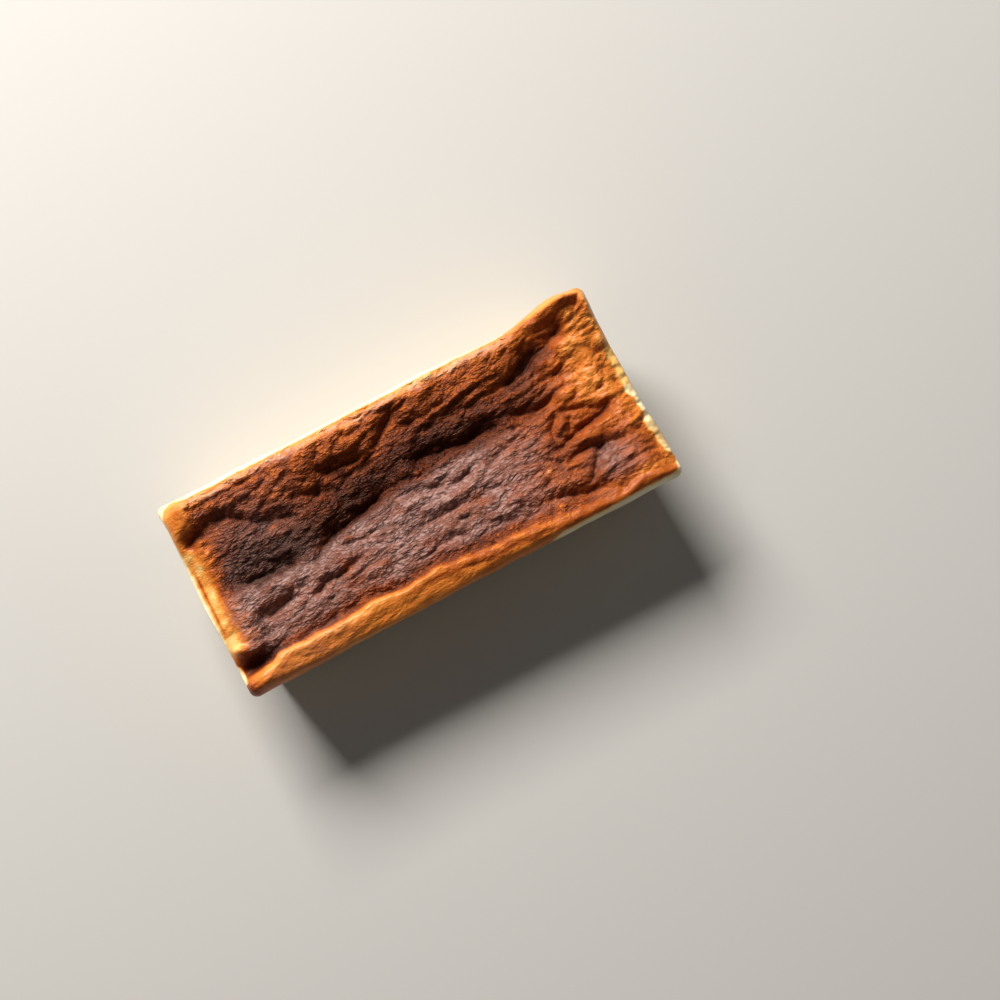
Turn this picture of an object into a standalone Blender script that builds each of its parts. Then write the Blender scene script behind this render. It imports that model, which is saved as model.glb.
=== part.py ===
"""Baked cheesecake from a loaf tin, whole and uncut, as one solid.

It stands on its flat base with +Z up. +X runs along its length and +Y across it. The origin is at the middle
of the base. The batter rose in the tin and sank as it cooled, so the browned skin on top hangs in folds
between a raised rim on the long sides, and the walls taper inwards down to the base.
"""
import itertools
import math

import bmesh
import bpy
import numpy as np

MM = 0.001

# Outer size, millimetres. The outline is widest at the shoulder, where the wall turns over into the skin.
LENGTH = 179.4
WIDTH = 79.4
SHOULDER_HEIGHT = 38.0
CORNER_RADIUS = 3.0

# The shoulder rounds over within this distance of the outline, from the wall up to the skin
SHOULDER_DEPTH = 3.0

# Walls: their rings as shares of the wall's height, the taper from shoulder to base, and the edge round the
# base
WALL_RINGS = (0.82, 0.61, 0.38, 0.17, 0.047, 0.0)
WALL_TAPER = 6.5
BASE_EDGE = 1.8

# The walls and the outline waver in slow and quick waves: their lengths and how far they push.
# The push dies out within WAVER_REACH of the outline, and the quick waves change slowly with height.
WALL_WAVES = ((45.0, 0.5), (9.0, 0.35))
WALL_WAVE_RISE = 30.0
WAVER_REACH = 12.0

# Where the outline bulges out or in from the tin's straight sides: centre, half length, half width, turn in
# degrees, push outwards
BULGES = {
    "south-east": ((68, -40), 34.0, 12.0, 0, 1.2),
    "west": ((-90, -4), 10.0, 17.0, 0, 1.1),
    "north-west corner": ((-89, 39), 6.0, 6.0, 0, 0.7),
    "east edge": ((92, -24), 10.0, 14.0, 0, 1.2),
    "before the ear": ((50, 40), 14.0, 10.0, 0, -1.5),
    "ear": ((73.5, 42), 8.5, 6.0, 0, 2.3),
}

# The wall and its rim stand up round the north-east corner, as an ear: centre, half length, half width, turn
# and height of the wall's rise, then the same of the crest on it, and how far in from the outline that crest
# runs and how wide it is
EAR = ((82, 40), 12.5, 14.0, 0, 8.5)
EAR_RIDGE = ((81, 39), 13.0, 13.0, 0, 5.2)
EAR_RIDGE_IN = 1.8
EAR_RIDGE_WIDTH = 2.6

# How far the wall stands up under the south rim: centre, half length, half width, turn, height
SOUTH_WALL = ((-10, -42), 75.0, 14.0, 0, 3.8)

# Mesh pitch: squares along and across the top, and how much closer they lie at the edge than in the middle
SQUARES_ALONG = 88
SQUARES_ACROSS = 40
EDGE_CROWDING = 0.25

# Skin across the width: floor of the long valley, and what the north slope and the plateau stand above it
VALLEY_FLOOR = 41.0
NORTH_RISE = 4.6
NORTH_SLOPE = (8.0, 34.0)
NORTH_EDGE_DROP = 2.2
NORTH_CREST = 33.5
PLATEAU_RISE = 1.6
PLATEAU_START = 5.0
PLATEAU_SLOPE = 16.0

# South rim: how far out its crest stands, at the west and at the east, and its inner and outer slopes
SOUTH_CREST = -31.0
SOUTH_CREST_RUN = (-15.0, 85.0, 6.0)
SOUTH_CREST_CORNER = (-68.0, 18.0, 3.5)
SOUTH_RISE = 3.0
SOUTH_RISE_LOSS = (20.0, 40.0, 1.4)
SOUTH_INNER_SLOPE = 3.6
SOUTH_OUTER_DROP = 1.9
SOUTH_OUTER_SLOPE = 8.5

# Each end: a low swell, then a fall to the edge. Where each starts, how long it is, and how high
EAST_SWELL = (72.0, 8.0, 1.0)
EAST_FALL = (80.0, 10.0, 2.8)
WEST_SWELL = (76.0, 5.0, 0.8)
WEST_FALL = (80.0, 11.0, 3.6)

# Swells and hollows of the skin: centre, half length, half width, turn in degrees, height
SWELLS = {
    "north-west knob": ((-83, 31), 6.5, 6.0, 20, 1.6),
    "behind the ear": ((82, 34), 10.0, 7.0, 0, 1.2),
    "north-east hollow": ((60, 27), 10.0, 5.0, 30, -2.2),
    "south-west curl": ((-86, -22), 3.2, 2.0, -20, 3.2),
    "south-west pocket": ((-81.5, -29), 6.5, 3.6, 10, -6.0),
    "south-west tip": ((-88, -37), 3.0, 3.0, 0, 1.5),
    "south-east lump": ((70, -27), 9.0, 7.5, 0, 2.0),
    "east pocket": ((68.5, -16.5), 3.4, 2.2, 10, -1.6),
    "east end swell": ((80, 12), 5.0, 12.0, 0, 0.8),
    "east fold's back": ((66, 5), 8.0, 4.0, 0, 0.9),
    "puff under the north rim": ((-20, 27), 13.0, 4.5, -3, 1.0),
    "west lobe": ((-64, -7), 9.0, 5.5, 0, 2.4),
    "west lobe's end": ((-53.5, -11), 3.0, 3.0, 0, -1.5),
    "west end puff": ((-77.5, -13), 2.6, 6.0, 0, 1.3),
    "west plateau": ((-57, -20), 11.0, 5.5, 0, 1.2),
    "plateau lobe": ((-41, -8.5), 9.0, 4.0, 0, 1.0),
    "east finger": ((65.5, -11), 10.0, 2.2, 16, 1.6),
    "east column": ((58.3, -4.8), 5.5, 2.0, 70, 1.2),
    "lump's west puff": ((61.5, -28.5), 3.5, 3.0, 0, 1.0),
    "middle plateau": ((-34, -1), 13.0, 5.0, 10, 1.3),
}

# Creases of the skin: start, end, how far the middle bows to the left of that way, depth, and how wide the
# side on the left of that way and the side on its right are
CREASES = {
    "under the north puff": ((-33, 25.5), (-9, 22), -2.0, 3.9, 2.6, 3.5),
    "up from the north puff": ((-13, 22), (7, 33), -1.3, 3.6, 2.6, 3.0),
    "valley, west": ((-79, -1.5), (-46, -4.5), 2.6, 4.6, 4.2, 2.2),
    "valley, middle": ((-52, -5.5), (-2, 8.5), 1.2, 5.4, 4.4, 3.4),
    "valley, east of middle": ((0, 11.5), (43, 9), -1.4, 4.8, 4.0, 4.5),
    "valley, east": ((40, 10.5), (64, 9), -2.0, 3.6, 3.0, 3.5),
    "under the north-west knob": ((-88, 21.5), (-73, 28), -1.0, 3.9, 2.8, 3.4),
    "down from the knob": ((-78, 28), (-58, 17), 1.4, 3.6, 2.6, 3.2),
    "north slope, west": ((-64, 19.5), (-40, 13), -1.4, 2.0, 2.5, 3.0),
    "north slope, low": ((-46, 20), (-22, 12), 1.0, 1.9, 1.8, 2.8),
    "north slope, middle": ((-30, 17), (-4, 20), -1.0, 1.8, 1.8, 2.8),
    "north slope, high east": ((-4, 23.5), (30, 25.5), -0.8, 2.0, 1.8, 2.6),
    "north slope, low east": ((6, 19), (40, 19.5), 0.8, 1.9, 1.8, 2.6),
    "hollow, south side": ((36, 22), (63, 21.5), -1.4, 3.6, 3.4, 3.4),
    "hollow, up to the ear": ((53, 20), (81, 31.5), 0.9, 4.4, 3.8, 3.0),
    "below the hollow": ((56, 16), (74, 19), -2.0, 2.0, 2.2, 2.6),
    "plateau, north edge": ((-42, -2.5), (-16, -4), -3.2, 1.6, 1.2, 2.2),
    "under the west lobe": ((-74, -15.5), (-56, -12.5), -0.8, 3.2, 1.8, 2.6),
    "round the west lobe's end": ((-58, -14), (-46, -12), -2.4, 1.8, 1.6, 2.2),
    "under the plateau lobe": ((-50, -11.5), (-29, -9.5), -3.6, 2.4, 1.6, 2.4),
    "west end, across": ((-73, -8), (-74.5, -25), 0.6, 2.0, 1.8, 2.0),
    "plateau, middle": ((-4, 1.5), (28, -4.5), -1.4, 2.1, 2.0, 3.0),
    "plateau, east": ((24, -4.5), (48, 3), -0.8, 2.2, 2.0, 2.8),
    "plateau, long line": ((-18, -11), (36, -13), -1.0, 1.8, 1.8, 2.8),
    "east fold": ((48, -12.5), (84, -3), -0.3, 4.0, 2.4, 2.6),
    "east column, west side": ((58.5, 4), (52.5, -9.5), 0.4, 2.2, 1.6, 1.6),
    "east column, east side": ((63, -1), (59.5, -9), 0.0, 1.6, 1.5, 1.5),
    "above the east fold": ((56, 3), (77, -4.5), 0.3, 2.0, 1.8, 2.2),
    "east finger, south side": ((53, -17), (70, -16), 0.6, 2.4, 1.6, 2.0),
    "round the south-east lump": ((63, -20), (79, -19.5), 3.2, 3.0, 2.0, 2.2),
    "south-east lump, west side": ((66.5, -17.5), (57, -29.5), 1.0, 2.0, 1.8, 1.8),
    "west of the lump": ((44, -12), (62, -22), 1.0, 1.5, 2.0, 2.2),
    "foot of the south rim, west": ((-74, -28.5), (-12, -28), 0.5, 1.2, 2.5, 2.0),
    "plateau's south edge": ((-12, -24), (22, -23.5), 0.8, 1.5, 2.2, 2.4),
    "foot of the south rim": ((14, -24.5), (42, -27.5), -0.9, 2.0, 2.2, 2.4),
    "foot of the south rim, east": ((34, -24.5), (70, -36), 1.2, 2.8, 2.4, 2.4),
}

# Each crease is drawn in this many steps and fades out over this share of its length at both ends.
# Its bottom is this blunt, its two sides pass into each other over this width, and this power steepens them.
CREASE_STEPS = 8
CREASE_ENDS = 0.3
CREASE_BLUNTNESS = 0.3
CREASE_BLEND = 3.0
CREASE_POWER = 1.25

# Waver of all those lines: length of its waves and how far they push, coarse and fine
LINE_WAVES = ((14.0, 1.6), (5.0, 0.5))

# Wrinkles lie lengthwise: their length and width, how far they lean over to the south, their depth, the level
# of a puff that leaves the skin's height as it is, and how steeply they climb towards the east
WRINKLE_LENGTH = 14.0
WRINKLE_WIDTH = 6.5
WRINKLE_LEAN = 1.0
WRINKLE_DEPTH = 2.0
WRINKLE_LEVEL = 0.35
WRINKLE_SLANT = 0.10

# The south rim and the west end were stretched smooth: what share of the wrinkles' depth is left there, where
# that starts before the crest or the end, and over what distance
RIM_WRINKLES = 0.35
RIM_WRINKLES_START = 3.0
WEST_WRINKLES_START = 79.0
RIM_WRINKLES_RUN = 3.5

# The wrinkles swing in slow waves of this length and width, by these shares of a wrinkle
WRINKLE_SWING = (22.0, 16.0, 0.18, 0.30)

# Heights at which the noise is cut, so that each use of it differs
WAVER_LEVELS = (0.0, 9.0, 4.0)
SWING_LEVELS = (21.0, 25.0)
WALL_LEVELS = (60.0, 70.0)
OCTAVE_LEVEL = 7.3

WAVER_SEED = 3
WRINKLE_SEED = 23
NOISE_GAIN = 1.6

CRUST_BROWN = (0.205, 0.062, 0.022, 1.0)


def smooth(t):
    """Ease from 0 to 1 with level ends."""
    t = np.clip(t, 0.0, 1.0)
    return t * t * (3.0 - 2.0 * t)


class Waves:
    """Smooth seeded gradient noise over a lattice of unit cells, about -1 to 1."""

    def __init__(self, seed):
        draw = np.random.default_rng(seed)
        self.order = draw.permutation(256)
        ways = draw.normal(size=(256, 3))
        self.ways = ways / np.linalg.norm(ways, axis=1)[:, None]

    def __call__(self, x, y, z=0.0):
        point = np.stack(np.broadcast_arrays(x, y, z), -1).astype(float)
        cell = np.floor(point).astype(int)
        inside = point - cell
        ease = inside ** 3 * (inside * (inside * 6.0 - 15.0) + 10.0)
        total = np.zeros(point.shape[:-1])
        for corner in itertools.product((0, 1), repeat=3):
            at = (cell + corner) & 255
            pick = self.order[(self.order[at[..., 0]] + at[..., 1]) & 255]
            pick = self.order[(pick + at[..., 2]) & 255]
            share = np.prod(np.where(corner, ease, 1.0 - ease), -1)
            total += share * np.sum(self.ways[pick] * (inside - corner), -1)
        return NOISE_GAIN * total


waver = Waves(WAVER_SEED)
wrinkle = Waves(WRINKLE_SEED)


def puffs(x, y, octaves):
    """Rounded puffs parted by sharp creases: 0 in a crease, about 0.5 on a puff."""
    total = 0.0
    for k in range(octaves):
        total = total + 0.5 ** k * np.abs(wrinkle(x * 2 ** k, y * 2 ** k, OCTAVE_LEVEL * k))
    return total


def bowed_line(start, end, bow):
    """Points along a line whose middle stands off its chord by bow, to the left."""
    start = np.array(start, float)
    end = np.array(end, float)
    chord = end - start
    left = np.array([-chord[1], chord[0]]) / np.linalg.norm(chord)
    handle = (start + end) / 2.0 + 2.0 * bow * left
    t = np.linspace(0.0, 1.0, CREASE_STEPS + 1)[:, None]
    return (1 - t) ** 2 * start + 2 * t * (1 - t) * handle + t ** 2 * end


def beside(x, y, line):
    """Distance of each point to a line, its offset to the left, and where along the line it lies, 0 to 1."""
    gap = np.full(x.shape, np.inf)
    left = np.zeros(x.shape)
    along = np.zeros(x.shape)
    for k in range(len(line) - 1):
        start = line[k]
        step = line[k + 1] - start
        t = np.clip(((x - start[0]) * step[0] + (y - start[1]) * step[1]) / (step @ step), 0.0, 1.0)
        dx = x - start[0] - t * step[0]
        dy = y - start[1] - t * step[1]
        distance = np.hypot(dx, dy)
        nearer = distance < gap
        gap = np.where(nearer, distance, gap)
        left = np.where(nearer, (step[0] * dy - step[1] * dx) / math.sqrt(step @ step), left)
        along = np.where(nearer, (k + t) / (len(line) - 1), along)
    return gap, left, along


def swell(x, y, centre, half_length, half_width, turn, height):
    """A rounded swell, or a hollow where the height is negative."""
    c = math.cos(math.radians(turn))
    s = math.sin(math.radians(turn))
    dx = x - centre[0]
    dy = y - centre[1]
    u = (c * dx + s * dy) / half_length
    v = (c * dy - s * dx) / half_width
    return height * np.exp(-(u * u + v * v))


def crease(x, y, start, end, bow, depth, left_width, right_width):
    """A crease with a sharp bottom that fades out at both ends."""
    gap, left, along = beside(x, y, bowed_line(start, end, bow))
    width = right_width + (left_width - right_width) * smooth(0.5 + left / CREASE_BLEND)
    fade = smooth(along / CREASE_ENDS) * smooth((1.0 - along) / CREASE_ENDS)
    return -depth * fade * np.exp(-(np.sqrt(gap ** 2 + CREASE_BLUNTNESS ** 2) / width) ** CREASE_POWER)


def wavered(x, y):
    """Shift points a little, so that no fold runs dead straight."""
    wx = x
    wy = y
    x_level, y_level, step = WAVER_LEVELS
    for k, (size, push) in enumerate(LINE_WAVES):
        wx = wx + push * waver(x / size, y / size, x_level + step * k)
        wy = wy + push * waver(x / size, y / size, y_level + step * k)
    return wx, wy


def south_crest(x):
    """Where the crest of the south rim runs: well in at the west, out to the edge at the east."""
    start, run, shift = SOUTH_CREST_RUN
    corner, corner_run, corner_shift = SOUTH_CREST_CORNER
    return SOUTH_CREST - shift * smooth((x - start) / run) - corner_shift * smooth((corner - x) / corner_run)


def skin_height(x, y):
    """Height of the browned skin above the base, in millimetres, before it rounds over at the shoulder."""
    wx, wy = wavered(x, y)
    low, high = NORTH_SLOPE
    z = VALLEY_FLOOR + NORTH_RISE * smooth((wy - low) / (high - low))
    z = z - NORTH_EDGE_DROP * smooth((wy - NORTH_CREST) / (WIDTH / 2.0 - NORTH_CREST))
    z = z + PLATEAU_RISE * smooth((PLATEAU_START - wy) / PLATEAU_SLOPE)
    crest = south_crest(wx)
    start, run, loss = SOUTH_RISE_LOSS
    rise = SOUTH_RISE - loss * smooth((wx - start) / run)
    z = z + rise * smooth((crest + SOUTH_INNER_SLOPE - wy) / SOUTH_INNER_SLOPE)
    z = z - SOUTH_OUTER_DROP * smooth((crest - wy) / SOUTH_OUTER_SLOPE)
    for way, (rise_at, rise_run, rise), (fall_at, fall_run, fall) in (
            (1.0, EAST_SWELL, EAST_FALL), (-1.0, WEST_SWELL, WEST_FALL)):
        z = z + rise * smooth((way * wx - rise_at) / rise_run)
        z = z - fall * smooth((way * wx - fall_at) / fall_run)
    z = z + swell(wx, wy, *EAR_RIDGE) * np.exp(-((from_edge(x, y) - EAR_RIDGE_IN) / EAR_RIDGE_WIDTH) ** 2)
    for values in SWELLS.values():
        z = z + swell(wx, wy, *values)
    for values in CREASES.values():
        z = z + crease(wx, wy, *values)
    return z + stretched(wx, wy) * wrinkles(x, y)


def stretched(wx, wy):
    """Share of the wrinkles' depth that is left: all in the middle, little on the south rim and west end."""
    on_rim = smooth((south_crest(wx) + RIM_WRINKLES_START - wy) / RIM_WRINKLES_RUN)
    at_west = smooth((-wx - WEST_WRINKLES_START) / RIM_WRINKLES_RUN)
    return 1.0 - (1.0 - RIM_WRINKLES) * np.maximum(on_rim, at_west)


def wrinkles(x, y):
    """Lengthwise wrinkles whose puffs lean over to the south."""
    long, wide, swing_along, swing_across = WRINKLE_SWING
    along_level, across_level = SWING_LEVELS
    u = x / WRINKLE_LENGTH + swing_along * waver(x / long, y / wide, along_level)
    v = (y - WRINKLE_SLANT * x) / WRINKLE_WIDTH + swing_across * waver(x / long, y / wide, across_level)
    v = v + WRINKLE_LEAN / WRINKLE_WIDTH * puffs(u, v, 1)
    return WRINKLE_DEPTH * (puffs(u, v, 2) - WRINKLE_LEVEL)


def rounded_plan(u, v):
    """Carry a square grid, -1 to 1 both ways, onto the outline's rectangle with round corners."""
    x = LENGTH / 2.0 * u * (1.0 + EDGE_CROWDING * (1.0 - u ** 2))
    y = WIDTH / 2.0 * v * (1.0 + EDGE_CROWDING * (1.0 - v ** 2))
    a = np.maximum(np.abs(x) - (LENGTH / 2.0 - CORNER_RADIUS), 0.0)
    b = np.maximum(np.abs(y) - (WIDTH / 2.0 - CORNER_RADIUS), 0.0)
    pull = np.maximum(a, b) / np.maximum(np.hypot(a, b), 1e-9)
    x = x + np.sign(x) * a * (pull - 1.0) * (a > 0.0) * (b > 0.0)
    y = y + np.sign(y) * b * (pull - 1.0) * (a > 0.0) * (b > 0.0)
    return x, y


def from_edge(x, y):
    """Distance in from the rounded outline."""
    a = LENGTH / 2.0 - np.abs(x)
    b = WIDTH / 2.0 - np.abs(y)
    corner = CORNER_RADIUS - np.hypot(np.maximum(CORNER_RADIUS - a, 0.0), np.maximum(CORNER_RADIUS - b, 0.0))
    return np.where(np.maximum(a, b) < CORNER_RADIUS, corner, np.minimum(a, b))


def top_point(u, v):
    """Place of a grid point of the top."""
    x, y = rounded_plan(u, v)
    t = np.clip(from_edge(x, y) / SHOULDER_DEPTH, 0.0, 1.0)
    shoulder = shoulder_height(x, y)
    z = shoulder + (skin_height(x, y) - shoulder) * np.sqrt(1.0 - (1.0 - t) ** 2)
    return wander(x, y, z)


def shoulder_height(x, y):
    """Height of the walls, which stand taller at the ear and along the south."""
    return SHOULDER_HEIGHT + swell(x, y, *EAR) + swell(x, y, *SOUTH_WALL)


def wall_point(u, v, share):
    """Place of the wall's point under the top's edge point (u, v), at a share of the wall's height."""
    x, y = rounded_plan(u, v)
    height = share * shoulder_height(x, y)
    inset = WALL_TAPER * np.maximum(1.0 - height / SHOULDER_HEIGHT, 0.0)
    inset = inset + BASE_EDGE * (1.0 - np.minimum(height / BASE_EDGE, 1.0))
    x = x * (1.0 - 2.0 * inset / LENGTH)
    y = y * (1.0 - 2.0 * inset / WIDTH)
    return wander(x, y, height)


def wander(x, y, z):
    """Push the walls and the outline in and out a little, as wet batter sets against paper."""
    (slow, slow_push), (quick, quick_push) = WALL_WAVES
    slow_level, quick_level = WALL_LEVELS
    push = slow_push * waver(x / slow, y / slow, slow_level)
    push = push + quick_push * waver(x / quick, y / quick, quick_level + z / WALL_WAVE_RISE)
    for values in BULGES.values():
        push = push + swell(x, y, *values)
    push = push * smooth(1.0 - from_edge(x, y) / WAVER_REACH)
    return x + push * x / (LENGTH / 2.0), y + push * y / (WIDTH / 2.0), z


for old in list(bpy.data.objects):
    bpy.data.objects.remove(old)

# The top is a grid of squares. Its rim is drawn down in rings for the walls, and the last ring is filled.
bm = bmesh.new()
bmesh.ops.create_grid(bm, x_segments=SQUARES_ALONG, y_segments=SQUARES_ACROSS, size=1.0)
layers = [list(bm.verts)]
rim = [edge for edge in bm.edges if edge.is_boundary]
for _ in WALL_RINGS:
    drawn = bmesh.ops.extrude_edge_only(bm, edges=rim)["geom"]
    layers.append([item for item in drawn if isinstance(item, bmesh.types.BMVert)])
    rim = [item for item in drawn if isinstance(item, bmesh.types.BMEdge) and item.is_boundary]
bmesh.ops.contextual_create(bm, geom=rim)

shares = (None,) + WALL_RINGS
for layer, share in zip(layers, shares):
    u = np.array([vert.co.x for vert in layer])
    v = np.array([vert.co.y for vert in layer])
    place = top_point(u, v) if share is None else wall_point(u, v, share)
    for vert, point in zip(layer, np.stack(place, -1)):
        vert.co = point * MM

# The middle of the outline's box stands over the origin
low = np.min([vert.co for vert in bm.verts], axis=0)
high = np.max([vert.co for vert in bm.verts], axis=0)
bmesh.ops.translate(bm, verts=bm.verts, vec=(-(low[0] + high[0]) / 2.0, -(low[1] + high[1]) / 2.0, 0.0))
bmesh.ops.triangulate(bm, faces=bm.faces)
bmesh.ops.recalc_face_normals(bm, faces=bm.faces)

mesh = bpy.data.meshes.new("cheesecake")
bm.to_mesh(mesh)
bm.free()
mesh.shade_smooth()

crust = bpy.data.materials.new("cheesecake_crust")
crust.use_nodes = True
surface = crust.node_tree.nodes["Principled BSDF"]
surface.inputs["Base Color"].default_value = CRUST_BROWN
surface.inputs["Roughness"].default_value = 0.5
surface.inputs["Metallic"].default_value = 0.0
mesh.materials.append(crust)

cake = bpy.data.objects.new("cheesecake", mesh)
collection = bpy.data.collections.new("cheesecake")
bpy.context.scene.collection.children.link(collection)
collection.objects.link(cake)
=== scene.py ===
"""A whole baked cheesecake from a loaf tin: pale set custard under a sunken, wrinkled, dark-browned skin."""
import itertools
import math

import bmesh
import bpy
import numpy as np
from mathutils import Matrix, Vector


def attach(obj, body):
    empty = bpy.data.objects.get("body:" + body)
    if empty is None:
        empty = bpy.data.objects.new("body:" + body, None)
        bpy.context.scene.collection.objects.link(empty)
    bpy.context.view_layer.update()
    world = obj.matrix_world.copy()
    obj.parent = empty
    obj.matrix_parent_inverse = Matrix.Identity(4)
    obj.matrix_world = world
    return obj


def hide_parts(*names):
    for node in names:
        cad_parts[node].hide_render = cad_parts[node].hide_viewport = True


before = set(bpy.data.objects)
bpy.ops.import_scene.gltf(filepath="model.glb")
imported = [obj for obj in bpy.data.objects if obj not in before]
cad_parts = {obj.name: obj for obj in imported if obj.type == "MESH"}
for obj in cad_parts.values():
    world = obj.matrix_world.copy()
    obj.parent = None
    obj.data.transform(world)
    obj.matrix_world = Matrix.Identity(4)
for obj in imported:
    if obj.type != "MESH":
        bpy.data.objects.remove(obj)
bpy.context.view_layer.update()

MM = 0.001
scene = bpy.context.scene


# The view
# The cake is seen from above, almost straight down, with its long axis running up to the right. The camera
# stands 0.6 m over the floor on a slightly long lens, a little to the near side of the cake.
CAMERA_PLACE = (-0.01282, -0.08792, 0.59363)
CAMERA_YAW = -28.165
CAMERA_TILT = 8.2
CAMERA_LENS = 54.0
CAMERA_SENSOR = 36.0
CAMERA_NEAR = 0.01

yaw = math.radians(CAMERA_YAW)
tilt = math.radians(CAMERA_TILT)
level_ahead = Vector((-math.sin(yaw), math.cos(yaw), 0.0))
right = Vector((math.cos(yaw), math.sin(yaw), 0.0))
ahead = level_ahead * math.sin(tilt) - Vector((0.0, 0.0, math.cos(tilt)))
above = level_ahead * math.cos(tilt) + Vector((0.0, 0.0, math.sin(tilt)))
camera_data = bpy.data.cameras.new("camera")
camera_data.lens = CAMERA_LENS
camera_data.sensor_width = CAMERA_SENSOR
camera_data.clip_start = CAMERA_NEAR
camera = bpy.data.objects.new("camera", camera_data)
pose = Matrix((right, above, -ahead)).transposed().to_4x4()
pose.translation = Vector(CAMERA_PLACE)
camera.matrix_world = pose
scene.collection.objects.link(camera)
scene.camera = camera


# Light and floor
# Broad daylight comes in low from the far long side, as from a window, so every fold facing it is lit and the
# near side throws a soft shadow. The floor is plain and pale.
FLOOR_SIZE = 3.0
FLOOR_GREY = (0.56, 0.535, 0.50, 1.0)
FLOOR_ROUGHNESS = 0.75
WINDOW_WAY = (-0.10, 0.76, 0.64)
WINDOW_DISTANCE = 1.6
WINDOW_SIZE = (0.85, 0.6)
WINDOW_POWER = 47.0
WINDOW_COLOUR = (1.0, 0.985, 0.96)
SKY_COLOUR = (0.97, 0.98, 1.0, 1.0)
SKY_STRENGTH = 0.10

scene.view_settings.view_transform = "Standard"
scene.view_settings.look = "None"

bm = bmesh.new()
bmesh.ops.create_grid(bm, x_segments=1, y_segments=1, size=FLOOR_SIZE / 2.0)
floor_mesh = bpy.data.meshes.new("floor")
bm.to_mesh(floor_mesh)
bm.free()
floor = bpy.data.objects.new("floor", floor_mesh)
scene.collection.objects.link(floor)
floor_material = bpy.data.materials.new("floor_pale")
floor_material.use_nodes = True
floor_surface = floor_material.node_tree.nodes["Principled BSDF"]
floor_surface.inputs["Base Color"].default_value = FLOOR_GREY
floor_surface.inputs["Roughness"].default_value = FLOOR_ROUGHNESS
floor_mesh.materials.append(floor_material)

window_data = bpy.data.lights.new("window", "AREA")
window_data.shape = "RECTANGLE"
window_data.size, window_data.size_y = WINDOW_SIZE
window_data.energy = WINDOW_POWER
window_data.color = WINDOW_COLOUR
window = bpy.data.objects.new("window", window_data)
window_way = Vector(WINDOW_WAY).normalized()
window.location = window_way * WINDOW_DISTANCE
window.rotation_euler = window_way.to_track_quat("Z", "Y").to_euler()
scene.collection.objects.link(window)

world = bpy.data.worlds.new("room")
world.use_nodes = True
world.node_tree.nodes["Background"].inputs["Color"].default_value = SKY_COLOUR
world.node_tree.nodes["Background"].inputs["Strength"].default_value = SKY_STRENGTH
scene.world = world


# The block of custard
# Cream cheese, eggs and cream set firm in a paper-lined loaf tin. It takes the tin's form: a long block with
# round corners whose walls taper in to the base, a little uneven where the paper creased.
# Outer size at the shoulder, where the wall rounds over into the skin, in millimetres
LENGTH = 179.4
WIDTH = 79.4
SHOULDER_HEIGHT = 38.0
CORNER_RADIUS = 3.0
SHOULDER_DEPTH = 3.0
# Walls: how far they taper in, the edge round the base, and the slow and quick waves they waver in
WALL_TAPER = 6.5
BASE_EDGE = 1.8
WALL_WAVES = ((45.0, 0.5), (9.0, 0.35))
WALL_WAVE_RISE = 30.0
WALL_LEVELS = (60.0, 70.0)
WAVER_REACH = 12.0
# How much closer the mesh's squares lie at the edge than in the middle
EDGE_CROWDING = 0.12
NOISE_GAIN = 1.6
WAVER_SEED = 3

# Where the outline bulges past the tin's straight sides: centre, half length, half width, turn, push
BULGES = {
    "south-east": ((68, -40), 34.0, 12.0, 0, 1.2),
    "west": ((-90, -4), 10.0, 17.0, 0, 1.1),
    "north-west corner": ((-89, 39), 6.0, 6.0, 0, 0.7),
    "east edge": ((92, -24), 10.0, 14.0, 0, 1.2),
    "before the ear": ((50, 40), 14.0, 10.0, 0, -1.5),
    "ear": ((73.5, 42), 8.5, 6.0, 0, 2.3),
}
# How far the rim stands up round the north-east corner, as an ear
EAR = ((82, 40), 12.5, 14.0, 0, 8.5)
# How far the wall stands up under the south rim
SOUTH_WALL = ((-10, -42), 75.0, 14.0, 0, 3.8)


def smooth(t):
    """Ease from 0 to 1 with level ends."""
    t = np.clip(t, 0.0, 1.0)
    return t * t * (3.0 - 2.0 * t)


class Waves:
    """Smooth seeded gradient noise over a lattice of unit cells, about -1 to 1."""

    def __init__(self, seed):
        draw = np.random.default_rng(seed)
        self.order = draw.permutation(256)
        ways = draw.normal(size=(256, 3))
        self.ways = ways / np.linalg.norm(ways, axis=1)[:, None]

    def __call__(self, x, y, z=0.0):
        point = np.stack(np.broadcast_arrays(x, y, z), -1).astype(float)
        cell = np.floor(point).astype(int)
        inside = point - cell
        ease = inside ** 3 * (inside * (inside * 6.0 - 15.0) + 10.0)
        total = np.zeros(point.shape[:-1])
        for corner in itertools.product((0, 1), repeat=3):
            at = (cell + corner) & 255
            pick = self.order[(self.order[at[..., 0]] + at[..., 1]) & 255]
            pick = self.order[(pick + at[..., 2]) & 255]
            share = np.prod(np.where(corner, ease, 1.0 - ease), -1)
            total += share * np.sum(self.ways[pick] * (inside - corner), -1)
        return NOISE_GAIN * total


waver = Waves(WAVER_SEED)


def rounded_plan(u, v):
    """Carry a square grid, -1 to 1 both ways, onto the outline's rectangle with round corners."""
    x = LENGTH / 2.0 * u * (1.0 + EDGE_CROWDING * (1.0 - u ** 2))
    y = WIDTH / 2.0 * v * (1.0 + EDGE_CROWDING * (1.0 - v ** 2))
    a = np.maximum(np.abs(x) - (LENGTH / 2.0 - CORNER_RADIUS), 0.0)
    b = np.maximum(np.abs(y) - (WIDTH / 2.0 - CORNER_RADIUS), 0.0)
    pull = np.maximum(a, b) / np.maximum(np.hypot(a, b), 1e-9)
    both = (a > 0.0) & (b > 0.0)
    x = x + np.where(both, np.sign(x) * a * (pull - 1.0), 0.0)
    y = y + np.where(both, np.sign(y) * b * (pull - 1.0), 0.0)
    return x, y


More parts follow.
